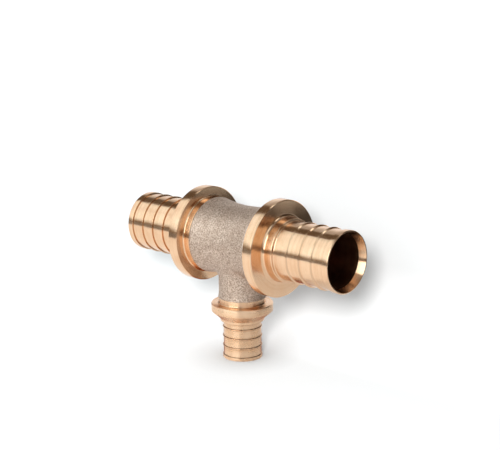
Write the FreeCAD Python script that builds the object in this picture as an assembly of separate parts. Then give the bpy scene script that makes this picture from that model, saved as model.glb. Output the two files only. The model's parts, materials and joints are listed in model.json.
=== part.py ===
import FreeCAD, Part
import math
import os

# Reducing tee for expanded plastic pipe held by sliding sleeves, cast in gunmetal as one piece.
# Frame: the run lies along X, the branch points down -Z, and the origin is where both axes cross.
# All sizes are in millimetres. Places along a port are distances from the origin along its axis.


class Port:
    """Sizes of one turned port. The two run ends share one set and the branch has a smaller one."""

    def __init__(self, **sizes):
        self.__dict__.update(sizes)


# The run ends take the larger pipe.
RUN = Port(
    cast_end=16.7,          # where the cast skin stops and turning starts
    cast_r=17.0,            # radius of the cast skin at that edge
    neck_r=16.9,            # turned neck behind the collar
    collar_back=19.5,       # collar face towards the body
    collar_front=24.6,      # edge of the collar towards the pipe
    collar_r=21.35,
    collar_chamfer=0.35,
    collar_taper=0.0,       # length of the cone from that edge down to the hub, none on a flat face
    back_fillet=0.7,        # neck into collar
    hub_fillet=1.5,         # collar into hub
    hub_r=14.0,
    hub_end=29.6,
    hub_round=0.45,         # rounded outer edge of the hub
    land_r=12.95,           # smooth spigot between the ribs
    land_fillet=0.5,        # hub into spigot
    rib_r=13.5,             # crest of the ribs and of the nose ring
    rib_start=36.6,         # steep side of the rib nearest the collar
    rib_pitch=6.55,
    rib_count=3,
    rib_crest=0.4,          # flat along the crest
    length=59.15,
    nose_round=0.35,
    bore_r=11.6,
    mouth_r=12.85,
    mouth_depth=3.1,
)

# The branch takes the smaller pipe.
BRANCH = Port(
    cast_end=25.8,
    cast_r=10.85,
    neck_r=10.5,
    collar_back=28.45,
    collar_front=32.15,
    collar_r=13.87,
    collar_chamfer=0.25,
    collar_taper=3.2,
    back_fillet=0.7,
    hub_fillet=0.5,
    hub_r=9.9,
    hub_end=36.6,
    hub_round=0.45,
    land_r=8.45,
    land_fillet=0.5,
    rib_r=8.85,
    rib_start=39.15,
    rib_pitch=4.35,
    rib_count=3,
    rib_crest=0.3,
    length=53.7,
    nose_round=0.3,
    bore_r=6.8,
    mouth_r=8.0,
    mouth_depth=2.2,
)

# Cast body. The run's barrel is slightly waisted and the branch neck flares, so both swell
# towards their machined ends.
RUN_WAIST_DEPTH = 1.6       # how far the waist is sunk below the barrel's ends
RUN_END_ROUND = 1.3
BRANCH_FLARE = 0.45         # how far the edge of the branch neck stands out
BRANCH_LIP = 2.6            # length over which it flares
SADDLE_FILLET = 2.4         # casting radius where the branch leaves the run

# Shape shared by every rib.
STEEP_SIDE = 85.0           # degrees from the axis, the side that holds the pipe
EASY_SIDE = 50.0            # degrees from the axis, the side the pipe slides over

OVERLAP = 0.6               # how far the turned blanks reach into the casting
NEAR = 0.01                 # two places closer than this count as one


def line(a, b):
    return Part.LineSegment(FreeCAD.Vector(a[0], 0, a[1]), FreeCAD.Vector(b[0], 0, b[1])).toShape()


def arc(a, through, b):
    ends = [FreeCAD.Vector(p[0], 0, p[1]) for p in (a, through, b)]
    return Part.Arc(*ends).toShape()


def spin(edges):
    """Solid of revolution about X from a closed chain of edges drawn as (along, radius)."""
    face = Part.Face(Part.Wire(edges))
    return face.revolve(FreeCAD.Vector(0, 0, 0), FreeCAD.Vector(1, 0, 0), 360)


def corner(before, at, after, radius):
    """Tangent points and middle of the arc that rounds one corner of a profile."""
    def unit(p, q):
        d = math.dist(p, q)
        return ((q[0] - p[0]) / d, (q[1] - p[1]) / d)
    u, v = unit(at, before), unit(at, after)
    half = 0.5 * math.acos(max(-1.0, min(1.0, u[0] * v[0] + u[1] * v[1])))
    back = radius / math.tan(half)
    bisector = (u[0] + v[0], u[1] + v[1])
    size = math.hypot(*bisector)
    reach = radius / math.sin(half) - radius
    start = (at[0] + u[0] * back, at[1] + u[1] * back)
    end = (at[0] + v[0] * back, at[1] + v[1] * back)
    middle = (at[0] + bisector[0] / size * reach, at[1] + bisector[1] / size * reach)
    return start, middle, end


def chain(points):
    """Edges through (along, radius, rounding) points; a rounding of zero leaves a sharp corner."""
    edges, cursor = [], points[0][:2]
    for i in range(1, len(points) - 1):
        before, at, after = points[i - 1][:2], points[i][:2], points[i + 1][:2]
        if points[i][2] > 0:
            start, middle, end = corner(before, at, after, points[i][2])
            edges += [line(cursor, start), arc(start, middle, end)]
            cursor = end
        else:
            edges.append(line(cursor, at))
            cursor = at
    edges.append(line(cursor, points[-1][:2]))
    edges.append(line(points[-1][:2], points[0][:2]))
    return edges


def rib_points(port, start):
    """One rib: steep towards the collar, narrow crest, easy slope towards the pipe's end."""
    height = port.rib_r - port.land_r
    top = start + height / math.tan(math.radians(STEEP_SIDE))
    fall = top + port.rib_crest
    foot = fall + height / math.tan(math.radians(EASY_SIDE))
    return [(start, port.land_r, 0), (top, port.rib_r, 0), (fall, port.rib_r, 0), (foot, port.land_r, 0)]


def nose_start(port):
    """Steep side of the ring at the pipe end, one pitch after the last rib."""
    return port.rib_start + port.rib_count * port.rib_pitch


def turned_blank(port):
    """Neck, collar, hub, ribs and nose of one port as a solid bar along +X."""
    c = port.collar_chamfer
    inner = port.cast_end - OVERLAP
    points = [
        (inner, 0, 0),
        (inner, port.neck_r, 0),
        (port.collar_back, port.neck_r, port.back_fillet),
        (port.collar_back, port.collar_r - c, 0),
        (port.collar_back + c, port.collar_r, 0),
        (port.collar_front - c, port.collar_r, 0),
        (port.collar_front, port.collar_r - c, 0),
        (port.collar_front + port.collar_taper, port.hub_r, port.hub_fillet),
        (port.hub_end, port.hub_r, port.hub_round),
        (port.hub_end, port.land_r, port.land_fillet),
    ]
    for i in range(port.rib_count):
        points += rib_points(port, port.rib_start + i * port.rib_pitch)
    nose = nose_start(port)
    points += rib_points(port, nose)[:2]
    points += [(port.length, port.rib_r, port.nose_round), (port.length, 0, 0)]
    return spin(chain(points))


def bore_tool(port):
    """Bore with its chamfered mouth, from the origin out past the end."""
    points = [
        (0, 0, 0),
        (0, port.bore_r, 0),
        (port.length - port.mouth_depth, port.bore_r, 0),
        (port.length, port.mouth_r, 0),
        (port.length + 1, port.mouth_r, 0),
        (port.length + 1, 0, 0),
    ]
    return spin(chain(points))


def run_casting():
    """Waisted barrel of the run with rounded shoulders at both ends."""
    end, radius, soft = RUN.cast_end, RUN.cast_r, RUN_END_ROUND
    left, right = (-end + soft, radius), (end - soft, radius)
    drop = soft * (1 - math.cos(math.radians(45)))
    shoulder_r = radius - soft
    edges = [
        line((-end, 0), (-end, shoulder_r)),
        arc((-end, shoulder_r), (-end + drop, radius - drop), left),
        arc(left, (0, radius - RUN_WAIST_DEPTH), right),
        arc(right, (end - drop, radius - drop), (end, shoulder_r)),
        line((end, shoulder_r), (end, 0)),
        line((end, 0), (-end, 0)),
    ]
    return spin(edges)


def branch_neck_r():
    return BRANCH.cast_r - BRANCH_FLARE


def branch_casting():
    """Neck of the branch from the origin down to its edge, drawn along +X like every port."""
    end, neck = BRANCH.cast_end, branch_neck_r()
    flare = end - BRANCH_LIP
    # The flare is an arc tangent to the straight neck.
    bend = (BRANCH_LIP ** 2 + BRANCH_FLARE ** 2) / (2 * BRANCH_FLARE)
    half = 0.5 * math.asin(BRANCH_LIP / bend)
    through = (flare + bend * math.sin(half), neck + bend * (1 - math.cos(half)))
    edges = [
        line((0, 0), (0, neck)),
        line((0, neck), (flare, neck)),
        arc((flare, neck), through, (end, BRANCH.cast_r)),
        line((end, BRANCH.cast_r), (end, 0)),
        line((end, 0), (0, 0)),
    ]
    return spin(edges)


def to_left(shape):
    return shape.rotated(FreeCAD.Vector(0, 0, 0), FreeCAD.Vector(0, 0, 1), 180)


def to_branch(shape):
    return shape.rotated(FreeCAD.Vector(0, 0, 0), FreeCAD.Vector(0, 1, 0), 90)


def saddle_edges(shape):
    """Edges that run round the branch neck at a changing height, where it leaves the barrel."""
    found = []
    for edge in shape.Edges:
        box = edge.BoundBox
        on_neck = all(abs(math.hypot(p.x, p.y) - branch_neck_r()) < NEAR for p in edge.discretize(7))
        if on_neck and box.ZLength > NEAR and box.YLength > NEAR:
            found.append(edge)
    return found


def casting():
    rough = run_casting().fuse(to_branch(branch_casting())).removeSplitter()
    return rough.makeFillet(SADDLE_FILLET, saddle_edges(rough))


def tee():
    body = casting()
    run_end, branch_end = turned_blank(RUN), turned_blank(BRANCH)
    body = body.fuse([run_end, to_left(run_end), to_branch(branch_end)])
    run_bore, branch_bore = bore_tool(RUN), bore_tool(BRANCH)
    bores = run_bore.fuse([to_left(run_bore), to_branch(branch_bore)]).removeSplitter()
    return body.cut(bores).removeSplitter()


os.makedirs("parts", exist_ok=True)
shape = tee()
shape.exportStep("parts/tee_body.step")
print("solids", len(shape.Solids), "valid", shape.isValid(), "volume mm3", round(shape.Volume))
box = shape.optimalBoundingBox()
print("box", [round(v, 2) for v in (box.XMin, box.XMax, box.YMin, box.YMax, box.ZMin, box.ZMax)])
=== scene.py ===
# %% [markdown]
# # A reducing tee for sliding sleeve joints
#
# The real part is one gunmetal casting. A foundry pours the barrel and the branch neck in one
# go, the skin is blasted dull, and a lathe then turns the three ends bright: a neck, a collar,
# a hub and a ribbed spigot that a plastic pipe is pushed over. This lesson dresses the packed
# CAD model: it builds the visible tee in the same place, lights it like a small product
# studio and frames it as the photograph does. Everything is in metres, so sizes that a
# drawing would give in millimetres are multiplied by MM once, where they enter a mesh or a
# material.

import json
import math

import bmesh
import bpy
import numpy as np
from mathutils import Matrix, Vector

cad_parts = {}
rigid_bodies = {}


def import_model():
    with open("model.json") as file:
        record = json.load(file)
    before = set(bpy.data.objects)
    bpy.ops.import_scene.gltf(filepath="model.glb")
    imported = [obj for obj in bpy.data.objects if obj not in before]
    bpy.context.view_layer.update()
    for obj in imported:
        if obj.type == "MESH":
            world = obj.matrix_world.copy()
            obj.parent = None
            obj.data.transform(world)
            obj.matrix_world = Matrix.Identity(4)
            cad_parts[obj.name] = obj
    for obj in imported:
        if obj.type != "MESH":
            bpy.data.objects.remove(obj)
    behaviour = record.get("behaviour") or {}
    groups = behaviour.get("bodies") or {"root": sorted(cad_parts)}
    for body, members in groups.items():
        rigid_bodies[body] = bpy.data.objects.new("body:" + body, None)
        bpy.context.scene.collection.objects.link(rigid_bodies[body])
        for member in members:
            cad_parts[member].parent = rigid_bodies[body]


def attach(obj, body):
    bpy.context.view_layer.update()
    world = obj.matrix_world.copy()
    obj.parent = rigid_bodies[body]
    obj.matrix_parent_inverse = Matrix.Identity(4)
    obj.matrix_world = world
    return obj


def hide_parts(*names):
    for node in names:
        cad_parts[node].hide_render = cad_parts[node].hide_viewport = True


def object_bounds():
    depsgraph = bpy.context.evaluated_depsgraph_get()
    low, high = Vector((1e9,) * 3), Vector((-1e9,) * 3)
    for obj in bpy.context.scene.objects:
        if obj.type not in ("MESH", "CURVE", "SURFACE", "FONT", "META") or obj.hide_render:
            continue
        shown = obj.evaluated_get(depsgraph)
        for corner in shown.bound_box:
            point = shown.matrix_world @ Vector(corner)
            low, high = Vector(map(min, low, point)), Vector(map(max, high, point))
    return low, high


for spare in list(bpy.data.objects):  # the cube, light and camera of a new Blender file
    bpy.data.objects.remove(spare)
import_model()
CAD_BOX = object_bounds()
MM = 0.001
FLOOR_Z = CAD_BOX[0].z
print("CAD box", [round(v / MM, 2) for corner in CAD_BOX for v in corner], "mm")

# %% [markdown]
# ## The camera
#
# The photograph is a long-lens shot from the front right, a little above the run. Its angles,
# distance and focal length were found by fitting circles of the collars, spigots and mouth to
# the ellipses they make in the picture. The camera is built from three unit vectors: back
# (from the tee to the camera), right and up. A matrix made of those three needs no Track To
# constraint and allows the slight roll of a hand-held shot.

# %% The camera from its fitted angles
AZIMUTH, ELEVATION, ROLL = (math.radians(a) for a in (42.311, 13.468, -0.495))
DISTANCE, ASIDE, ABOVE = 563.708 * MM, 3.701 * MM, 6.554 * MM
FOCAL_PIXELS, PICTURE_WIDTH = 1276.926, 500
SENSOR = 36.0  # millimetres wide


def linked(name, data):
    """A new object, put into the scene."""
    made = bpy.data.objects.new(name, data)
    bpy.context.collection.objects.link(made)
    return made


back = Vector((math.sin(AZIMUTH) * math.cos(ELEVATION), -math.cos(AZIMUTH) * math.cos(ELEVATION),
               math.sin(ELEVATION)))
sideways = Vector((math.cos(AZIMUTH), math.sin(AZIMUTH), 0))
right = Matrix.Rotation(ROLL, 3, back) @ sideways
up = back.cross(right)

camera = linked("camera", bpy.data.cameras.new("camera"))
camera.data.sensor_width = SENSOR
camera.data.lens = FOCAL_PIXELS / PICTURE_WIDTH * SENSOR
camera.matrix_world = Matrix.Translation(back * DISTANCE + right * ASIDE + up * ABOVE) @ Matrix(
    (right, up, back)).transposed().to_4x4()
bpy.context.scene.camera = camera
print("lens", round(camera.data.lens, 2), "mm")

# %% [markdown]
# ## One helper for all node trees
#
# Materials, the world and the Geometry Nodes trees are all made of nodes, values and links.
# One small function adds a node, sets its properties, and fills each input with a plain value
# or with another node's output, so each tree below reads like a list of steps.

# %% Adding a node, and colours from hex
def add_node(tree, kind, inputs=None, **settings):
    made = tree.nodes.new(kind)
    for name, value in settings.items():
        setattr(made, name, value)
    for key, value in (inputs or {}).items():
        if isinstance(value, bpy.types.NodeSocket):
            tree.links.new(value, made.inputs[key])
        else:
            made.inputs[key].default_value = value
    return made


def linear(hex_colour):
    """sRGB hex to the linear RGBA that shaders work in."""
    values = [int(hex_colour[i:i + 2], 16) / 255 for i in (1, 3, 5)]
    return tuple(v / 12.92 if v <= 0.04045 else ((v + 0.055) / 1.055) ** 2.4 for v in values) + (1.0,)


print("grey #808080 is", round(linear("#808080")[0], 3), "in linear light")

# %% [markdown]
# ## Sizes of the three ports
#
# Both run ends are turned to one drawing and the branch to a smaller one. Places are measured
# from the crossing of the two axes, out along the port. Two dictionaries with the same keys
# let one set of functions make all three ends.

# %% The drawing sizes, in millimetres
RUN = dict(cast_end=16.7, cast_r=17.0, neck_r=16.9, collar_back=19.5, collar_front=24.6,
           collar_r=21.35, chamfer=0.35, collar_taper=0.0, back_fillet=0.7, hub_fillet=1.5,
           hub_r=14.0, hub_end=29.6, hub_round=0.45, land_r=12.95, land_fillet=0.5, rib_r=13.5,
           rib_start=36.6, rib_pitch=6.55, rib_count=3, rib_crest=0.4, length=59.15,
           nose_round=0.35, bore_r=11.6, mouth_r=12.85, mouth_depth=3.1)
BRANCH = dict(cast_end=25.8, cast_r=10.85, neck_r=10.5, collar_back=28.45, collar_front=32.15,
              collar_r=13.87, chamfer=0.25, collar_taper=3.2, back_fillet=0.7, hub_fillet=0.5,
              hub_r=9.9, hub_end=36.6, hub_round=0.45, land_r=8.45, land_fillet=0.5, rib_r=8.85,
              rib_start=39.15, rib_pitch=4.35, rib_count=3, rib_crest=0.3, length=53.7,
              nose_round=0.3, bore_r=6.8, mouth_r=8.0, mouth_depth=2.2)
WAIST_DEPTH, SHOULDER = 1.6, 1.3  # the barrel's waist, and the rounding of its ends
FLARE, FLARE_LENGTH = 0.45, 2.6  # how the branch neck opens towards its edge
SADDLE_RADIUS = 2.4
STEEP, EASY = math.radians(85), math.radians(50)  # the two sides of a rib
EDGE_BREAK = 0.09  # turned edges are broken, never razor sharp
SUNK = 0.6  # how far a turned blank reaches into the casting
PAST = 1  # how far a boring tool runs on past its cut
print("run", 2 * RUN["length"], "mm long, branch", BRANCH["length"], "mm down from its axis")

# %% [markdown]
# ## Profiles
#
# A lathe cuts a profile: a chain of points, each with a distance along the axis and a radius.
# Sharp corners look false on metal, because a real edge always catches a line of light, so
# each corner that shows carries a rounding, which is replaced by a few points of an arc. The
# arc is found with plain trigonometry from the two lines that meet there.

# %% Rounding the corners of a profile
def rounded(points, step=math.radians(15)):
    """(along, radius, rounding) corners to plain points, with each rounded corner as an arc."""
    chain = []
    for i, (x, r, rounding) in enumerate(points):
        if not rounding:
            chain.append((x, r))
            continue
        corner = np.array((x, r))
        to_last, to_next = (np.array(points[j][:2]) - corner for j in (i - 1, i + 1))
        to_last, to_next = to_last / np.linalg.norm(to_last), to_next / np.linalg.norm(to_next)
        half = math.acos(np.clip(to_last @ to_next, -1, 1)) / 2
        middle = (to_last + to_next) / np.linalg.norm(to_last + to_next)
        centre = corner + middle * rounding / math.sin(half)
        start, end = (corner + way * rounding / math.tan(half) for way in (to_last, to_next))
        first, last = (math.atan2(*(p - centre)[::-1]) for p in (start, end))
        turn = (last - first + math.pi) % (2 * math.pi) - math.pi
        count = max(2, math.ceil(abs(turn) / step))
        for k in range(count + 1):
            angle = first + turn * k / count
            chain.append(tuple(centre + rounding * np.array((math.cos(angle), math.sin(angle)))))
    return chain


print("a square corner becomes", len(rounded([(0, 0, 0), (0, 5, 1), (5, 5, 0)])) - 2, "points")

# %% Profiles of an end, a rib, a bore and a mouth
def turned_profile(p):
    """Neck, collar, hub, smooth spigot and nose ring, from pole to pole."""
    c, nose = p["chamfer"], p["rib_start"] + p["rib_count"] * p["rib_pitch"]
    rise = (p["rib_r"] - p["land_r"]) / math.tan(STEEP)
    inner = p["cast_end"] - SUNK
    return rounded([
        (inner, 0, 0), (inner, p["neck_r"], EDGE_BREAK),
        (p["collar_back"], p["neck_r"], p["back_fillet"]),
        (p["collar_back"], p["collar_r"] - c, EDGE_BREAK),
        (p["collar_back"] + c, p["collar_r"], EDGE_BREAK),
        (p["collar_front"] - c, p["collar_r"], EDGE_BREAK),
        (p["collar_front"], p["collar_r"] - c, EDGE_BREAK),
        (p["collar_front"] + p["collar_taper"], p["hub_r"], p["hub_fillet"]),
        (p["hub_end"], p["hub_r"], p["hub_round"]),
        (p["hub_end"], p["land_r"], p["land_fillet"]),
        (nose, p["land_r"], 0), (nose + rise, p["rib_r"], EDGE_BREAK),
        (p["length"], p["rib_r"], p["nose_round"]), (p["length"], 0, 0)])


def rib_section(p):
    """Closed section of one rib at its place nearest the collar, its foot sunk in the spigot."""
    sunk = p["land_r"] - SUNK
    start, height = p["rib_start"], p["rib_r"] - p["land_r"]
    top = start + height / math.tan(STEEP)
    fall = top + p["rib_crest"]
    foot = fall + (height + SUNK) / math.tan(EASY)
    return rounded([(start - SUNK / math.tan(STEEP), sunk, 0), (top, p["rib_r"], EDGE_BREAK),
                    (fall, p["rib_r"], EDGE_BREAK), (foot, sunk, 0),
                    (start - SUNK / math.tan(STEEP), sunk, 0)])


def bore_profile(p, start):
    """The boring tool's sweep, from start out past the end."""
    out = p["length"] + PAST
    return [(start, 0), (start, p["bore_r"]), (out, p["bore_r"]), (out, 0)]


def mouth_profile(p):
    """A countersink that opens the mouth: a cone that starts inside the empty bore."""
    slope = (p["mouth_r"] - p["bore_r"]) / p["mouth_depth"]
    inside, out = p["length"] - p["mouth_depth"] - PAST, p["length"] + PAST
    return [(inside, 0), (inside, p["bore_r"] - slope * PAST), (out, p["mouth_r"] + slope * PAST),
            (out, 0)]


print("run profile", len(turned_profile(RUN)), "points, rib", len(rib_section(RUN)), "points")

# %% [markdown]
# ## A lathe in Geometry Nodes
#
# Blender's Screw modifier could spin a profile, but a small Geometry Nodes tree shows the
# rule itself: a grid has one row for each profile point, and one column for each step round
# the axis and one more to close the ring. Every grid point is moved to (along, radius * cos,
# radius * sin). Merging by distance closes the seam and gathers the poles. The same tree
# turns the ends, the ribs, the cast barrel and its neck, and the boring tools.

# %% The lathe tree
SEAM = 0.001 * MM  # points closer than this are one


def new_tree(name, inputs):
    """A Geometry Nodes tree and its inputs by name; each tree also takes a finish."""
    tree = bpy.data.node_groups.new(name, "GeometryNodeTree")
    for label, kind in (inputs | {"Finish": "Material"}).items():
        tree.interface.new_socket(label, in_out="INPUT", socket_type="NodeSocket" + kind)
    tree.interface.new_socket("Made", in_out="OUTPUT", socket_type="NodeSocketGeometry")
    return tree, add_node(tree, "NodeGroupInput").outputs


def finished(tree, given, shape):
    """Ends a tree: instances become real faces, and every face gets the finish."""
    real = add_node(tree, "GeometryNodeRealizeInstances", {"Geometry": shape})
    done = add_node(tree, "GeometryNodeSetMaterial", {"Geometry": real.outputs[0],
                                                      "Material": given["Finish"]})
    add_node(tree, "NodeGroupOutput", {"Made": done.outputs[0]})
    return tree


def lathe_tree():
    tree, given = new_tree("lathe", {"Profile": "Geometry", "Steps": "Int"})
    count = add_node(tree, "GeometryNodeAttributeDomainSize", {"Geometry": given["Profile"]})
    columns = add_node(tree, "ShaderNodeMath", {0: given["Steps"], 1: 1.0}, operation="ADD")
    grid = add_node(tree, "GeometryNodeMeshGrid", {"Vertices X": count.outputs["Point Count"],
                                                   "Vertices Y": columns.outputs[0]})
    index = add_node(tree, "GeometryNodeInputIndex").outputs[0]
    ratio = add_node(tree, "ShaderNodeMath", {0: index, 1: columns.outputs[0]}, operation="DIVIDE")
    row = add_node(tree, "ShaderNodeMath", {0: ratio.outputs[0]}, operation="FLOOR")
    column = add_node(tree, "ShaderNodeMath", {0: index, 1: columns.outputs[0]}, operation="MODULO")
    point = add_node(tree, "GeometryNodeSampleIndex", {
        "Geometry": given["Profile"], "Value": add_node(tree, "GeometryNodeInputPosition").outputs[0],
        "Index": row.outputs[0]}, data_type="FLOAT_VECTOR")
    parts = add_node(tree, "ShaderNodeSeparateXYZ", {0: point.outputs[0]})
    share = add_node(tree, "ShaderNodeMath", {0: column.outputs[0], 1: given["Steps"]},
                     operation="DIVIDE")
    angle = add_node(tree, "ShaderNodeMath", {0: share.outputs[0], 1: 2 * math.pi},
                     operation="MULTIPLY")
    sides = []
    for function in ("COSINE", "SINE"):
        value = add_node(tree, "ShaderNodeMath", {0: angle.outputs[0]}, operation=function)
        sides.append(add_node(tree, "ShaderNodeMath", {0: value.outputs[0], 1: parts.outputs["Z"]},
                              operation="MULTIPLY").outputs[0])
    place = add_node(tree, "ShaderNodeCombineXYZ", {"X": parts.outputs["X"], "Y": sides[0],
                                                    "Z": sides[1]})
    moved = add_node(tree, "GeometryNodeSetPosition", {"Geometry": grid.outputs["Mesh"],
                                                       "Position": place.outputs[0]})
    merged = add_node(tree, "GeometryNodeMergeByDistance", {"Geometry": moved.outputs[0],
                                                            "Distance": SEAM})
    return finished(tree, given, merged.outputs[0])


LATHE = lathe_tree()
print("lathe tree", len(LATHE.nodes), "nodes")

# %% [markdown]
# ## A row of ribs
#
# Ribs repeat at one pitch, which is what instancing is for: a Mesh Line holds one point for
# each rib, and the turned ring is placed on each point. Realize Instances turns them into
# real faces, because a later Boolean needs them.

# %% The rib row tree
def rib_row_tree():
    tree, given = new_tree("rib_row", {"Ring": "Geometry", "Pitch": "Float", "Count": "Int"})
    offset = add_node(tree, "ShaderNodeCombineXYZ", {"X": given["Pitch"]})
    line = add_node(tree, "GeometryNodeMeshLine", {"Count": given["Count"],
                                                   "Offset": offset.outputs[0]})
    rings = add_node(tree, "GeometryNodeInstanceOnPoints", {"Points": line.outputs[0],
                                                            "Instance": given["Ring"]})
    return finished(tree, given, rings.outputs[0])


RIB_ROW = rib_row_tree()
print("rib row tree", len(RIB_ROW.nodes), "nodes")

# %% [markdown]
# ## Running a tree
#
# A modifier's inputs are set by the identifier of each socket, before the object is first
# evaluated. The evaluated result is then copied into a plain mesh, the modifiers go, and the
# normals are made to point outwards, because a profile may run either way round.

# %% Feeding a tree, and taking what it makes
def give(modifier, tree, **values):
    """Runs a tree in a modifier, with values for its named inputs."""
    modifier.node_group = tree
    for item in tree.interface.items_tree:
        if item.in_out == "INPUT" and item.name in values:
            modifier[item.identifier] = values[item.name]


def plain(made):
    """The evaluated object as one plain mesh whose faces all point outwards."""
    evaluated = made.evaluated_get(bpy.context.evaluated_depsgraph_get())
    mesh = bpy.data.meshes.new_from_object(evaluated)
    made.modifiers.clear()
    made.data = mesh
    shell = bmesh.new()
    shell.from_mesh(mesh)
    bmesh.ops.recalc_face_normals(shell, faces=shell.faces)
    shell.to_mesh(mesh)
    shell.free()
    return made


# %% The lathe as one call
RUN_STEPS, BRANCH_STEPS = 160, 128  # faces round the axis
TO_LEFT = Matrix.Rotation(math.pi, 4, "Z")
TO_BRANCH = Matrix.Rotation(math.pi / 2, 4, "Y")  # +X goes to -Z


def lathe(name, chain, steps, finish, row=None):
    """Spins (along, radius) points in millimetres about X; a row repeats what was spun."""
    mesh = bpy.data.meshes.new(name)
    mesh.from_pydata([(x * MM, 0, r * MM) for x, r in chain],
                     [(i, i + 1) for i in range(len(chain) - 1)], [])
    made = linked(name, mesh)
    give(made.modifiers.new("lathe", "NODES"), LATHE, Steps=steps, Finish=finish)
    if row:
        give(made.modifiers.new("row", "NODES"), RIB_ROW, Pitch=row["rib_pitch"] * MM,
             Count=row["rib_count"], Finish=finish)
    return plain(made)


def placed(made, turn):
    """Turns the mesh and not the object, which stays at the origin."""
    made.data.transform(turn)
    return made


print("steps round the run", RUN_STEPS, "and round the branch", BRANCH_STEPS)

# %% [markdown]
# ## Finishes, first as empty names
#
# The trees above need materials to set, and the materials are easier to explain once the tee
# exists. So they are made here and given their nodes further down.

# %% The finishes of this tee
FINISHES = [bpy.data.materials.new(name) for name in (
    "gunmetal_cast_and_blasted", "gunmetal_turned_run", "gunmetal_turned_branch",
    "gunmetal_bored")]
CAST, TURNED_RUN, TURNED_BRANCH, BORED = FINISHES
print("finishes", [finish.name for finish in FINISHES])

# %% [markdown]
# ## The turned ends
#
# Each end is one lathe job plus a row of ribs, and a cutter that will open its mouth. The
# left end is the right end turned half round, and the branch is turned to point down, so
# each job is written once and done at all three.

# %% Turning the three ends
PORTS = (("right", RUN, RUN_STEPS, TURNED_RUN, Matrix.Identity(4)),
         ("left", RUN, RUN_STEPS, TURNED_RUN, TO_LEFT),
         ("branch", BRANCH, BRANCH_STEPS, TURNED_BRANCH, TO_BRANCH))


def at_ports(job, profile, in_row=False):
    """The same lathe job at the right end, at the left end and at the branch."""
    made = []
    for port, sizes, steps, finish, turn in PORTS:
        spun = lathe(job + "_" + port, profile(sizes), steps, finish, sizes if in_row else None)
        made.append(placed(spun, turn))
    return made


ends = at_ports("end", turned_profile)
ribs = at_ports("ribs", rib_section, in_row=True)
bores = [lathe("bore_run", bore_profile(RUN, -RUN["length"] - PAST), RUN_STEPS, BORED),
         placed(lathe("bore_branch", bore_profile(BRANCH, 0), BRANCH_STEPS, BORED), TO_BRANCH)]
mouths = at_ports("mouth", mouth_profile)
for made in ends + ribs + bores + mouths:
    print(made.name, len(made.data.polygons), "faces")

# %% [markdown]
# ## The cast body
#
# The saddle where the branch leaves the barrel has no flat faces to bevel: the fillet follows
# a curve in space. A sculptor's trick makes it. The barrel and the neck are lathed, joined
# and remeshed into even small faces. Then every point is slid onto the surface where a
# signed distance is zero, and that distance blends barrel and neck with a round union, which
# comes close to the fillet that a rolling ball leaves. Evening out the points between slides
# keeps the faces alike.

# %% Barrel and neck profiles
SHOULDER_STEPS, WAIST_STEPS, FLARE_STEPS = 8, 24, 10


def arc_points(a, through, b, count):
    """Points of the circle through three profile points, both ends included."""
    (ax, ay), (bx, by), (cx, cy) = a, through, b
    d = 2 * (ax * (by - cy) + bx * (cy - ay) + cx * (ay - by))
    squares = [x * x + y * y for x, y in (a, through, b)]
    ux = (squares[0] * (by - cy) + squares[1] * (cy - ay) + squares[2] * (ay - by)) / d
    uy = (squares[0] * (cx - bx) + squares[1] * (ax - cx) + squares[2] * (bx - ax)) / d
    radius = math.hypot(ax - ux, ay - uy)
    start, end = (math.atan2(y - uy, x - ux) for x, y in (a, b))
    turn = (end - start + math.pi) % (2 * math.pi) - math.pi
    return [(ux + radius * math.cos(start + turn * k / count),
             uy + radius * math.sin(start + turn * k / count)) for k in range(count + 1)]


def barrel_profile():
    """A waist between two rounded shoulders."""
    end, radius = RUN["cast_end"], RUN["cast_r"]
    drop = SHOULDER * (1 - math.cos(math.radians(45)))
    right = arc_points((end - SHOULDER, radius), (end - drop, radius - drop),
                       (end, radius - SHOULDER), SHOULDER_STEPS)
    left = [(-x, r) for x, r in reversed(right)]
    waist = arc_points((-end + SHOULDER, radius), (0, radius - WAIST_DEPTH),
                       (end - SHOULDER, radius), WAIST_STEPS)
    return left[:-1] + waist + right[1:]


def neck_profile():
    """A straight neck, and an arc tangent to it that opens towards the edge."""
    end, neck = BRANCH["cast_end"], BRANCH["cast_r"] - FLARE
    arc_r = (FLARE_LENGTH ** 2 + FLARE ** 2) / (2 * FLARE)
    half = math.asin(FLARE_LENGTH / arc_r) / 2
    through = (end - FLARE_LENGTH + arc_r * math.sin(half), neck + arc_r * (1 - math.cos(half)))
    return [(0, neck)] + arc_points((end - FLARE_LENGTH, neck), through, (end, BRANCH["cast_r"]),
                                    FLARE_STEPS)


def with_poles(chain):
    """The profile with a point on the axis at each end, which closes what is spun from it."""
    return [(chain[0][0], 0)] + chain + [(chain[-1][0], 0)]


BARREL, NECK = barrel_profile(), neck_profile()
print("barrel", len(BARREL), "points, neck", len(NECK), "points")

# %% Signed distance to a lathed shape, and the round union of two
PROBE = 0.01  # millimetres to each side, to feel the slope
LEAST_SLOPE = 0.25  # squared; a gentler slope would throw a point too far


def lathed_distance(along, radial, chain):
    """Millimetres to the surface that the chain sweeps, negative inside it."""
    chain = np.array(with_poles(chain))
    best = np.full(len(along), np.inf)
    for a, b in zip(chain[:-1], chain[1:]):
        d = b - a
        t = np.clip(((along - a[0]) * d[0] + (radial - a[1]) * d[1]) / (d @ d), 0, 1)
        best = np.minimum(best, np.hypot(along - a[0] - t * d[0], radial - a[1] - t * d[1]))
    inside = radial < np.interp(along, chain[1:-1, 0], chain[1:-1, 1], left=0, right=0)
    return np.where(inside, -best, best)


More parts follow.
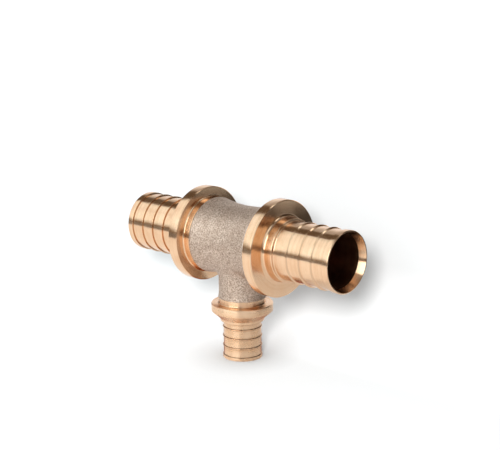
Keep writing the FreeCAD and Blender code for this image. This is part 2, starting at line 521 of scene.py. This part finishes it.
def cast_distance(p):
    """Millimetres to barrel and neck, joined with a fillet where both are near."""
    barrel = lathed_distance(p[:, 0], np.hypot(p[:, 1], p[:, 2]), BARREL)
    branch = lathed_distance(-p[:, 2], np.hypot(p[:, 0], p[:, 1]), NECK)
    near = np.hypot(np.maximum(SADDLE_RADIUS - barrel, 0), np.maximum(SADDLE_RADIUS - branch, 0))
    return np.maximum(SADDLE_RADIUS, np.minimum(barrel, branch)) - near


def slid_onto_casting(p, rounds=5):
    """Points moved down the gradient of the distance until they lie on the casting's surface."""
    for _ in range(rounds):
        here = cast_distance(p)
        slope = np.stack([(cast_distance(p + step) - cast_distance(p - step)) / (2 * PROBE)
                          for step in np.eye(3) * PROBE], 1)
        size = np.maximum((slope ** 2).sum(1), LEAST_SLOPE)
        p = p - slope * (here / size)[:, None]
    return p


print("distance at the crossing", round(float(cast_distance(np.zeros((1, 3)))[0]), 2), "mm")

# %% Lathe, join and remesh
VOXEL = 0.36  # size of the remeshed faces, in millimetres


def boolean(target, operand, operation):
    """Joins or cuts closed meshes; the operand is used up."""
    cut = target.modifiers.new(operation, "BOOLEAN")
    cut.operation, cut.object = operation, operand
    cut.solver, cut.material_mode = "MANIFOLD", "TRANSFER"
    plain(target)
    bpy.data.objects.remove(operand)


casting = lathe("barrel", with_poles(BARREL), RUN_STEPS, CAST)
neck = placed(lathe("neck", with_poles(NECK), BRANCH_STEPS, CAST), TO_BRANCH)
boolean(casting, neck, "UNION")
remesh = casting.modifiers.new("remesh", "REMESH")
remesh.mode, remesh.voxel_size = "VOXEL", VOXEL * MM
plain(casting)
print("remeshed into", len(casting.data.polygons), "faces")

# %% Slide onto the rule, and even out
EVEN_ROUNDS, EVEN_SHARE = 4, 0.6  # how often, and how far towards the middle of the neighbours


def numbers(items, name, width, kind=float):
    """One row of numbers for each point or edge of a mesh."""
    rows = np.empty(len(items) * width, dtype=kind)
    items.foreach_get(name, rows)
    return rows.reshape(-1, width)


points = slid_onto_casting(numbers(casting.data.vertices, "co", 3) / MM)
edges = numbers(casting.data.edges, "vertices", 2, int)
neighbours = np.bincount(edges.ravel(), minlength=len(points))[:, None]
for _ in range(EVEN_ROUNDS):
    sums = np.zeros_like(points)
    np.add.at(sums, edges[:, 0], points[edges[:, 1]])
    np.add.at(sums, edges[:, 1], points[edges[:, 0]])
    points = slid_onto_casting(points + EVEN_SHARE * (sums / neighbours - points), rounds=2)
casting.data.vertices.foreach_set("co", (points * MM).ravel())
casting.data.update()
print("casting", len(points), "points, at most", float(np.abs(cast_distance(points)).max()), "mm off")

# %% [markdown]
# ## The skin of the casting
#
# Sand and blasting leave a casting gently uneven: slow swells some 5 mm wide, and a pebbled
# grit from about 1 mm down. The swells and the coarse grit are real shape, so they are
# displaced here, with noise in a Geometry Nodes tree. The fine grit is left to the
# material's bump, which costs no faces.

# %% The skin tree
def skin_tree():
    tree, given = new_tree("cast_skin", {
        "Casting": "Geometry", "Swell size": "Float", "Swell height": "Float",
        "Grit size": "Float", "Grit height": "Float"})
    heights = []
    for seed, size, height in ((3.0, "Swell size", "Swell height"), (8.0, "Grit size", "Grit height")):
        scale = add_node(tree, "ShaderNodeMath", {0: 1.0, 1: given[size]}, operation="DIVIDE")
        noise = add_node(tree, "ShaderNodeTexNoise", {"W": seed, "Scale": scale.outputs[0],
                                                      "Detail": 2.0}, noise_dimensions="4D")
        centred = add_node(tree, "ShaderNodeMath", {0: noise.outputs[0], 1: 0.5},
                           operation="SUBTRACT")
        heights.append(add_node(tree, "ShaderNodeMath", {0: centred.outputs[0], 1: given[height]},
                                operation="MULTIPLY").outputs[0])
    height = add_node(tree, "ShaderNodeMath", {0: heights[0], 1: heights[1]}, operation="ADD")
    push = add_node(tree, "ShaderNodeVectorMath", {
        0: add_node(tree, "GeometryNodeInputNormal").outputs[0]}, operation="SCALE")
    tree.links.new(height.outputs[0], push.inputs["Scale"])
    moved = add_node(tree, "GeometryNodeSetPosition", {"Geometry": given["Casting"],
                                                       "Offset": push.outputs[0]})
    return finished(tree, given, moved.outputs[0])


give(casting.modifiers.new("skin", "NODES"), skin_tree(),
     **{"Swell size": 5.0 * MM, "Swell height": 0.16 * MM, "Grit size": 1.3 * MM,
        "Grit height": 0.11 * MM, "Finish": CAST})
plain(casting)
print("casting", [round(size / MM, 2) for size in casting.dimensions], "mm")

# %% [markdown]
# ## One solid tee
#
# The real part is one piece, so the visible one is too: ends and ribs are joined to the
# casting and the bores are cut out of it. The Manifold solver keeps a closed mesh closed and
# carries each operand's material to its faces. Edges sharper than a limit are marked sharp,
# and everything else is shaded smooth.

# %% Joining and boring
tee = casting
for made in ends + ribs:
    boolean(tee, made, "UNION")
for made in bores + mouths:
    boolean(tee, made, "DIFFERENCE")
tee.name = "tee"
tee.data.name = "tee"
print(tee.name, len(tee.data.polygons), "faces")

# %% Sharp edges and finishes
SHARP = math.radians(32)
tee.data.shade_smooth()
tee.data.set_sharp_from_angle(angle=SHARP)

shell = bmesh.new()
shell.from_mesh(tee.data)
for border in shell.edges:  # where one tool stopped and the next began
    if len({face.material_index for face in border.link_faces}) > 1:
        border.smooth = False
shell.to_mesh(tee.data)
print(sum(len(face.verts) - 2 for face in shell.faces), "triangles,",
      sum(not edge.is_manifold for edge in shell.edges), "open edges, volume",
      round(shell.calc_volume() / MM ** 3), "mm3")
shell.free()
for i in reversed(range(len(tee.data.materials))):
    if tee.data.materials[i] is None:
        tee.data.materials.pop(index=i)  # a grid brings an empty slot along
print("finishes", [finish.name for finish in tee.data.materials])

# %% What the tee rides on and stands for
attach(tee, "root")
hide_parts("tee_body")

# %% [markdown]
# ## Turned gunmetal
#
# Gunmetal is a red brass: copper with some tin and zinc, so it is a warm peach where it
# mirrors white and orange where it mirrors itself. A lathe tool leaves fine grooves round the
# axis. They blur a reflection along the axis far more than round it, which is what an
# anisotropic shader does when its tangent lies across the grooves. The grooves themselves are
# noise that depends on the distance along the axis and on the radius, never on the angle, so
# it makes rings on every turned face.

# %% Rings round an axis
def ring_coordinates(tree, axis):
    """(along, radius) of the shading point about an axis, and the direction across the grooves."""
    place = add_node(tree, "ShaderNodeTexCoord").outputs["Object"]
    keep = {"X": (0, 1, 1), "Z": (1, 1, 0)}[axis]
    off_axis = add_node(tree, "ShaderNodeVectorMath", {0: place, 1: keep}, operation="MULTIPLY")
    distance = add_node(tree, "ShaderNodeVectorMath", {0: off_axis.outputs[0]}, operation="LENGTH")
    along = add_node(tree, "ShaderNodeSeparateXYZ", {0: place}).outputs[axis]
    rings = add_node(tree, "ShaderNodeCombineXYZ", {"X": along, "Y": distance.outputs["Value"]})
    unit = {"X": (1, 0, 0), "Z": (0, 0, 1)}[axis]
    round_axis = add_node(tree, "ShaderNodeVectorMath", {0: unit, 1: off_axis.outputs[0]},
                          operation="CROSS_PRODUCT")
    normal = add_node(tree, "ShaderNodeNewGeometry").outputs["True Normal"]
    across = add_node(tree, "ShaderNodeVectorMath", {0: normal, 1: round_axis.outputs[0]},
                      operation="CROSS_PRODUCT")
    across = add_node(tree, "ShaderNodeVectorMath", {0: across.outputs[0]}, operation="NORMALIZE")
    return place, rings.outputs[0], across.outputs[0]


def mapped(tree, value, low, high, middle=0.5, span=0.2):
    """Stretches a value that lies within span of the middle to low..high."""
    return add_node(tree, "ShaderNodeMapRange", {
        "Value": value, "From Min": middle - span, "From Max": middle + span,
        "To Min": low, "To Max": high}).outputs[0]


# %% The turned finish
GROOVES = 0.35 * MM  # really about 0.2 mm apart, drawn coarser so that some of them show
BANDS = 1.5 * MM  # changes of feed, and tarnish
MARKS = 6 * MM  # handling
CORNER = 1.0 * MM  # how far the painted shade reaches round an inner corner
# The third colour is painted shade, laid into inner corners.
BRIGHT, DEEP, PAINTED_CORNER_SHADE = "#F9D4B1", "#E6B890", "#5E3820"


def emptied(owner):
    """The node tree of a material, a lamp or the world, with nothing in it."""
    owner.use_nodes = True
    owner.node_tree.nodes.clear()
    return owner.node_tree


def turned_finish(material, axis, bright, deep, roughness, anisotropy, groove_height, corner_shade):
    tree = emptied(material)
    place, rings, across = ring_coordinates(tree, axis)
    grooves = add_node(tree, "ShaderNodeTexNoise", {"Vector": rings, "Scale": 1 / GROOVES,
                                                    "Detail": 3.0, "Roughness": 0.6})
    bands = add_node(tree, "ShaderNodeTexNoise", {"Vector": rings, "Scale": 1 / BANDS,
                                                  "Detail": 3.0})
    marks = add_node(tree, "ShaderNodeTexNoise", {"Vector": place, "Scale": 1 / MARKS,
                                                  "Detail": 4.0, "Roughness": 0.55})
    tint = add_node(tree, "ShaderNodeMath", {0: bands.outputs[0], 1: marks.outputs[0]},
                    operation="ADD")
    tint = add_node(tree, "ShaderNodeMath", {0: tint.outputs[0], 1: 0.5}, operation="MULTIPLY")
    colour = add_node(tree, "ShaderNodeMix", {"Factor": mapped(tree, tint.outputs[0], 0.0, 1.0),
                                              "A": linear(deep), "B": linear(bright)},
                      data_type="RGBA")
    # Inner corners are painted a darker brown as shade, by how much sky they see. The open sky runs
    # from 1 on a free face to about 0.5 in a square corner.
    open_sky = add_node(tree, "ShaderNodeAmbientOcclusion", {"Distance": CORNER}, samples=16,
                        only_local=True).outputs["AO"]
    colour = add_node(tree, "ShaderNodeMix", {"Factor": mapped(tree, open_sky, 1.0, 0.0, corner_shade),
                                              "A": colour.outputs["Result"], "B": linear(PAINTED_CORNER_SHADE)},
                      data_type="RGBA")
    # Handling dulls a patch a little, and a groove is duller than the crests beside it.
    rough = add_node(tree, "ShaderNodeMath", {
        0: mapped(tree, marks.outputs[0], roughness - 0.03, roughness + 0.04),
        1: mapped(tree, grooves.outputs[0], -0.02, 0.03)}, operation="ADD")
    bump = add_node(tree, "ShaderNodeBump", {"Height": grooves.outputs[0], "Strength": 1.0,
                                             "Distance": groove_height * MM})
    shader = add_node(tree, "ShaderNodeBsdfPrincipled", {
        "Base Color": colour.outputs["Result"], "Metallic": 1.0, "Roughness": rough.outputs[0],
        "Anisotropic": anisotropy, "Tangent": across, "Normal": bump.outputs[0]})
    add_node(tree, "ShaderNodeOutputMaterial", {"Surface": shader.outputs[0]})


# %% The run, the branch and the bores
turned_finish(TURNED_RUN, axis="X", bright=BRIGHT, deep=DEEP, roughness=0.18,
              anisotropy=0.65, groove_height=0.005, corner_shade=0.57)
# The branch was turned with a coarser feed, so it smears a reflection further along its axis,
# and its inner corners, the feet of its lower ribs too, get more painted shade.
turned_finish(TURNED_BRANCH, axis="Z", bright=BRIGHT, deep=DEEP, roughness=0.27,
              anisotropy=0.92, groove_height=0.005, corner_shade=0.72)
# The inside is bored once, not polished, and has dulled: darker, rougher, coarser grooves.
turned_finish(BORED, axis="X", bright="#B98563", deep="#8E5E42", roughness=0.33,
              anisotropy=0.3, groove_height=0.008, corner_shade=0.57)
for finish in (TURNED_RUN, TURNED_BRANCH, BORED):
    print(finish.name, len(finish.node_tree.nodes), "nodes")

# %% [markdown]
# ## Cast and blasted gunmetal
#
# Blasting leaves the same alloy pitted in every direction, so it mirrors nothing and looks
# grey-pink and dull. Small pits hold a darker oxide and the tips are brushed lighter by
# handling. The real grit is about 0.4 mm, finer than one pixel, so it is drawn at 0.55 mm,
# where the picture just shows it.

# %% The cast finish
GRIT, PITS, CLOUDS = 0.55 * MM, 0.6 * MM, 5 * MM
GRIT_DEPTH = 0.085 * MM


def cast_finish(material):
    tree = emptied(material)
    place = add_node(tree, "ShaderNodeTexCoord").outputs["Object"]
    grit = add_node(tree, "ShaderNodeTexNoise", {"Vector": place, "Scale": 1 / GRIT,
                                                 "Detail": 3.0, "Roughness": 0.6})
    pits = add_node(tree, "ShaderNodeTexVoronoi", {"Vector": place, "Scale": 1 / PITS},
                    feature="SMOOTH_F1")
    clouds = add_node(tree, "ShaderNodeTexNoise", {"Vector": place, "Scale": 1 / CLOUDS,
                                                   "Detail": 4.0, "Roughness": 0.6})
    shade = add_node(tree, "ShaderNodeMix", {"Factor": mapped(tree, clouds.outputs[0], 0.0, 1.0),
                                             "A": linear("#CAB3A1"), "B": linear("#DECAB9")},
                     data_type="RGBA")
    speck = add_node(tree, "ShaderNodeMix", {
        "Factor": mapped(tree, grit.outputs[0], 0.0, 1.0, 0.47, 0.14),
        "A": linear("#8A7262"), "B": shade.outputs["Result"]}, data_type="RGBA")
    height = add_node(tree, "ShaderNodeMath", {0: grit.outputs[0], 1: pits.outputs["Distance"]},
                      operation="ADD")
    bump = add_node(tree, "ShaderNodeBump", {"Height": height.outputs[0], "Strength": 1.0,
                                             "Distance": GRIT_DEPTH})
    shader = add_node(tree, "ShaderNodeBsdfPrincipled", {
        "Base Color": speck.outputs["Result"], "Metallic": 0.9,
        "Roughness": mapped(tree, grit.outputs[0], 0.58, 0.48), "Normal": bump.outputs[0]})
    add_node(tree, "ShaderNodeOutputMaterial", {"Surface": shader.outputs[0]})


cast_finish(CAST)
print(CAST.name, len(CAST.node_tree.nodes), "nodes")

# %% [markdown]
# ## Directions round the tee
#
# Bright metal is only as good as what it mirrors. A photographer would describe the set by
# how far round the tee each light stands and how high, and would soften its borders with a
# diffuser. Three small functions draw such lights in any node tree: one gives the bearing, one
# makes a mask with soft borders, and one blends by that mask.

# %% Directions round the tee, with soft borders
def bearing_of(tree, x, y):
    """Degrees round the tee: 0 towards -Y, 90 towards +X."""
    ahead = add_node(tree, "ShaderNodeMath", {0: y, 1: -1.0}, operation="MULTIPLY")
    turn = add_node(tree, "ShaderNodeMath", {0: x, 1: ahead.outputs[0]}, operation="ARCTAN2")
    return add_node(tree, "ShaderNodeMath", {0: turn.outputs[0]}, operation="DEGREES").outputs[0]


def between(tree, value, low, high, soft_low, soft_high, product=1.0):
    """1 from low to high and 0 outside; a soft border of zero leaves its side open."""
    for start, end in ((low - soft_low, low), (high + soft_high, high)):
        if start == end:
            continue
        ramp = add_node(tree, "ShaderNodeMapRange", {
            "Value": value, "From Min": min(start, end), "From Max": max(start, end),
            "To Min": float(start > end), "To Max": float(end > start)},
            interpolation_type="SMOOTHSTEP")
        product = add_node(tree, "ShaderNodeMath", {0: product, 1: ramp.outputs[0]},
                           operation="MULTIPLY").outputs[0]
    return product


def blend(tree, mask, below, above, kind="FLOAT"):
    """Below where the mask is 0 and above where it is 1."""
    result = add_node(tree, "ShaderNodeMix", {"Factor": mask, "A": below, "B": above}, data_type=kind)
    return result.outputs["Result" if kind == "RGBA" else 0]


# %% [markdown]
# ## Two papers
#
# A product shot stands on a paper sweep, which lies flat under the tee and curves up close
# behind it, so that no line shows where the floor ends and the shadow runs up the curve. The
# camera alone sees the sweep. Metal would mirror its curve in places where the photograph has
# none, so in its place the metal sees a flat card: pale, painted darker to the right as shade,
# and with a painted shadow behind the branch, tinted copper as the tee's own light thrown back.

# %% Sheets of paper
def sheet(name, corners, faces, finish):
    """An open sheet of flat faces."""
    mesh = bpy.data.meshes.new(name)
    mesh.from_pydata(corners, [], faces)
    mesh.materials.append(finish)
    return linked(name, mesh)


def strip(lines):
    """Faces between neighbouring lines of two corners each."""
    return [(2 * k, 2 * k + 1, 2 * k + 3, 2 * k + 2) for k in range(lines - 1)]


def hidden_from(made, *rays):
    """Hides a piece from some kinds of ray."""
    for ray in rays:
        setattr(made, "visible_" + ray, False)


def paper(name, shade, glow):
    """Matt paper. The shade and the glow are each made by a function of the node tree."""
    material = bpy.data.materials.new(name)
    tree = emptied(material)
    light = add_node(tree, "ShaderNodeEmission", {"Strength": glow(tree)})
    matt = add_node(tree, "ShaderNodeBsdfDiffuse", {"Color": shade(tree)})
    both = add_node(tree, "ShaderNodeAddShader", {0: matt.outputs[0], 1: light.outputs[0]})
    # From its back the paper lets the view through, so that every side can be looked at.
    clear = add_node(tree, "ShaderNodeBsdfTransparent")
    side = add_node(tree, "ShaderNodeNewGeometry").outputs["Backfacing"]
    mixed = add_node(tree, "ShaderNodeMixShader", {0: side, 1: both.outputs[0], 2: clear.outputs[0]})
    add_node(tree, "ShaderNodeOutputMaterial", {"Surface": mixed.outputs[0]})
    return material


# %% The sweep, for the camera alone
REACH = 6.0  # how far the paper goes on, in metres
BEND_START, BEND, BEND_STEPS = 10 * MM, 40 * MM, 24  # where it leaves the floor, and its radius
UPRIGHT_GLOW, FLAT_GLOW = 0.04, 0.25  # where it stands upright, and how much more where flat
RIGHTWARD = -0.45  # change of the glow for each metre to the right
FOOT_SHADE = 25 * MM  # how far out the painted shadow round the tee's foot reaches


def sweep_glow(tree):
    """The flat part and the left catch less of the lamps, so they glow more."""
    tilt = add_node(tree, "ShaderNodeSeparateXYZ", {
        0: add_node(tree, "ShaderNodeNewGeometry").outputs["Normal"]}).outputs["Z"]
    aside = add_node(tree, "ShaderNodeSeparateXYZ", {
        0: add_node(tree, "ShaderNodeTexCoord").outputs["Object"]}).outputs["X"]
    glow = add_node(tree, "ShaderNodeMath", {0: tilt, 1: FLAT_GLOW, 2: UPRIGHT_GLOW},
                    operation="MULTIPLY_ADD")
    glow = add_node(tree, "ShaderNodeMath", {0: aside, 1: RIGHTWARD, 2: glow.outputs[0]},
                    operation="MULTIPLY_ADD", use_clamp=True)
    # The glow stands for light from the whole room, so round the foot of the tee it is painted weaker:
    # a painted contact shadow.
    open_sky = add_node(tree, "ShaderNodeAmbientOcclusion", {"Distance": FOOT_SHADE}, samples=16)
    return add_node(tree, "ShaderNodeMath", {
        0: glow.outputs[0], 1: mapped(tree, open_sky.outputs["AO"], 0.0, 1.0, 0.75)},
        operation="MULTIPLY").outputs[0]


curve = [(BEND_START + BEND * math.sin(a), FLOOR_Z + BEND * (1 - math.cos(a)))
         for a in (math.radians(90 * k / BEND_STEPS) for k in range(BEND_STEPS + 1))]
side_view = [(-REACH, FLOOR_Z)] + curve + [(BEND_START + BEND, REACH)]
sweep = sheet("sweep", [(x, y, z) for y, z in side_view for x in (-REACH, REACH)],
              strip(len(side_view)),
              paper("white_sweep_paper", lambda tree: linear("#AEAEAE"), sweep_glow))
sweep.data.shade_smooth()
hidden_from(sweep, "glossy", "diffuse", "shadow", "transmission")
print("sweep", len(sweep.data.polygons), "faces, bend", BEND / MM, "mm")

# %% The card on the floor, for the metal
PALE, RIGHT_SIDE_SHADE = 0.60, 0.46  # how bright the card is, and its right side, painted darker as shade
PAINTED_SHADOW = Vector((-15 * MM, 16 * MM, FLOOR_Z))  # centre of a painted shadow, on the floor that the branch's cone mirrors
PAINTED_SHADOW_R, PAINTED_SHADOW_BORDER = 18 * MM, 8 * MM
BELOW_SWEEP = 0.05 * MM  # lying in one plane, the card would block the sweep's open sky


def floor_shade(tree):
    """Pale card with painted shade to the right, and a copper painted shadow behind the branch."""
    place = add_node(tree, "ShaderNodeTexCoord").outputs["Object"]
    parts = add_node(tree, "ShaderNodeSeparateXYZ", {0: place}).outputs
    bearing = bearing_of(tree, parts["X"], parts["Y"])
    # The right side of the card is painted darker, as shade.
    pale = blend(tree, between(tree, bearing, 50, 180, 30, 0), PALE, RIGHT_SIDE_SHADE)
    # A painted shadow behind the branch, tinted copper as the tee's own light thrown back on it.
    away = add_node(tree, "ShaderNodeVectorMath", {0: place, 1: PAINTED_SHADOW}, operation="DISTANCE")
    patch = between(tree, away.outputs["Value"], 0, PAINTED_SHADOW_R, 0, PAINTED_SHADOW_BORDER)
    return blend(tree, patch, pale, linear("#7E3C14"), "RGBA")


floor = sheet("floor", [(x * REACH, y * REACH, FLOOR_Z - BELOW_SWEEP)
                        for x, y in ((-1, -1), (1, -1), (1, 1), (-1, 1))], [(0, 1, 2, 3)],
              paper("card_on_the_floor", floor_shade, lambda tree: 0.0))
hidden_from(floor, "camera")
print("floor card", 2 * REACH, "m square")

# %% [markdown]
# ## The studio
#
# The lights are drawn in the world by direction: a soft light to the left with a duller edge, a
# strong one in front, one to the right with a bright upper edge, and a grey wall behind. The
# dark gaps between them give the lines that make metal look like metal. Only the branch turns
# towards the front light. Seen from a little above, it mirrors the floor, and just the blur of
# its grooves reaches up to the light's lower border, so that light is the strongest.

# %% The studio, by direction
def studio():
    world = bpy.data.worlds.new("studio")
    bpy.context.scene.world = world
    tree = emptied(world)
    way = add_node(tree, "ShaderNodeTexCoord").outputs["Generated"]
    parts = add_node(tree, "ShaderNodeSeparateXYZ", {0: way}).outputs
    rise = add_node(tree, "ShaderNodeMath", {0: parts["Z"]}, operation="ARCSINE")
    height = add_node(tree, "ShaderNodeMath", {0: rise.outputs[0]}, operation="DEGREES").outputs[0]
    bearing = bearing_of(tree, parts["X"], parts["Y"])

    white, cool, warm = linear("#FFFFFF"), linear("#F0FBFF"), linear("#FFDFB8")
    light, hue = 0.32, white  # the room, where nothing is drawn over it
    # Each entry is a level, a tint, the bearings and heights that it spans in degrees, and the
    # width of the soft borders at each end of both.
    for level, tint, bearings, heights, soft_bearing, soft_height in (
            (0.22, white, (-180, 180), (66, 90), (0, 0), (8, 0)),        # dark ceiling
            (0.45, white, (-180, -124), (0, 66), (0, 6), (4, 4)),        # back wall, left
            (1.00, white, (-180, -124), (2, 16), (0, 6), (3, 22)),       # its foot, lit
            (1.32, cool, (-88, -30), (14, 54), (4, 6), (12, 4)),         # soft light, left
            (0.98, white, (-95, -64), (10, 37), (6, 8), (6, 4)),         # its duller edge
            (3.20, cool, (-24, 20), (5, 46), (6, 6), (7, 5)),            # soft light, front
            (1.02, cool, (42, 92), (8, 46), (6, 5), (6, 6)),             # soft light, right
            (1.40, cool, (56, 82), (46, 58), (5, 4), (4, 3)),            # its upper edge
            (0.12, warm, (-119, -94), (36, 60), (6, 4), (6, 4)),         # gap left
            (0.12, warm, (97, 117), (30, 66), (4, 2), (5, 4)),           # gap right
            (0.18, warm, (108, 130), (-90, 30), (5, 3), (0, 5)),         # and below it
            (1.90, cool, (119, 133), (38, 54), (2, 3), (4, 3)),          # small lamp, back right
            (0.04, warm, (134, 172), (-90, 36), (3, 5), (0, 6)),         # black card, back right
            (0.20, warm, (-110, 130), (-90, 2), (6, 4), (0, 5))):        # dark room past the table
        mask = between(tree, bearing, *bearings, *soft_bearing)
        mask = between(tree, height, *heights, *soft_height, mask)
        light, hue = blend(tree, mask, light, level), blend(tree, mask, hue, tint, "RGBA")
    # The camera itself sees plain white past the paper, from whatever side it looks.
    seen = add_node(tree, "ShaderNodeLightPath").outputs["Is Camera Ray"]
    shown = add_node(tree, "ShaderNodeBackground", {
        "Color": blend(tree, seen, hue, white, "RGBA"), "Strength": blend(tree, seen, light, 1.0)})
    add_node(tree, "ShaderNodeOutputWorld", {"Surface": shown.outputs[0]})


studio()
print("studio", len(bpy.context.scene.world.node_tree.nodes), "nodes")

# %% [markdown]
# ## Dark cards
#
# The dark line along the run is the dim gap between the table and the lights. The floor card
# reaches too far to show one, so two low dark walls stand on it, each part of a ring about
# the tee. Only reflections see them.

# %% Two dark cards that only the metal sees
CARD_STEPS = 48


def card(name, radius, bearings, top, level):
    """A low wall on the floor, part of a ring about the tee, seen in reflections alone."""
    corners = []
    for k in range(CARD_STEPS + 1):
        bearing = math.radians(bearings[0] + (bearings[1] - bearings[0]) * k / CARD_STEPS)
        x, y = radius * math.sin(bearing), -radius * math.cos(bearing)
        corners += [(x, y, FLOOR_Z), (x, y, top)]
    tone = bpy.data.materials.new(name)
    tree = emptied(tone)
    shade = add_node(tree, "ShaderNodeEmission", {"Color": (1, 1, 1, 1), "Strength": level})
    add_node(tree, "ShaderNodeOutputMaterial", {"Surface": shade.outputs[0]})
    made = sheet(name, corners, strip(CARD_STEPS + 1), tone)
    hidden_from(made, "camera", "diffuse", "shadow", "transmission", "volume_scatter")
    return made


dark_cards = [card("card_far", radius=400 * MM, bearings=(-110, 132), top=4 * MM, level=0.22),
              card("card_right", radius=165 * MM, bearings=(94, 172), top=0, level=0.05)]
print("dark cards", [made.name for made in dark_cards])

# %% [markdown]
# ## The shadow
#
# The studio lights the tee from all round, so it hardly draws a shadow. A large soft lamp
# above and to the left of the camera lays the grey shadow to the lower right, and a very
# soft sun fills it. Both have a constant falloff, so that their strengths are plain levels,
# and both stay out of the metal's reflections.

# %% The lamps that draw the shadow
LAMP_ABOVE, LAMP_LEFT, LAMP_RADIUS = 72, 52, 76  # millimetres; its place is from the camera
SUN_BEARING, SUN_HEIGHT, SUN_SPREAD = (math.radians(a) for a in (-140, 50, 110))


def lamp(name, kind, place, towards, strength, **settings):
    """A lamp that lights the paper and stays out of the metal's reflections."""
    made = linked(name, bpy.data.lights.new(name, kind))
    made.location = place
    made.rotation_euler = (-towards).to_track_quat("Z", "Y").to_euler()
    for key, value in settings.items():
        setattr(made.data, key, value)
    tree = emptied(made.data)
    even = add_node(tree, "ShaderNodeLightFalloff", {"Strength": strength}).outputs["Constant"]
    light = add_node(tree, "ShaderNodeEmission", {"Strength": even})
    add_node(tree, "ShaderNodeOutputLight", {"Surface": light.outputs[0]})
    hidden_from(made, "glossy")
    return made


lamp("shadow_lamp", "POINT", camera.location + (up * LAMP_ABOVE - right * LAMP_LEFT) * MM, -back,
     strength=6.5, shadow_soft_size=LAMP_RADIUS * MM)
to_sun = Vector((math.sin(SUN_BEARING) * math.cos(SUN_HEIGHT),
                 -math.cos(SUN_BEARING) * math.cos(SUN_HEIGHT), math.sin(SUN_HEIGHT)))
lamp("soft_sun", "SUN", to_sun, -to_sun, strength=0.15, angle=SUN_SPREAD)

# %% [markdown]
# ## Colour management
#
# Standard view keeps a colour as it was written.

# %% View
bpy.context.scene.view_settings.view_transform = "Standard"
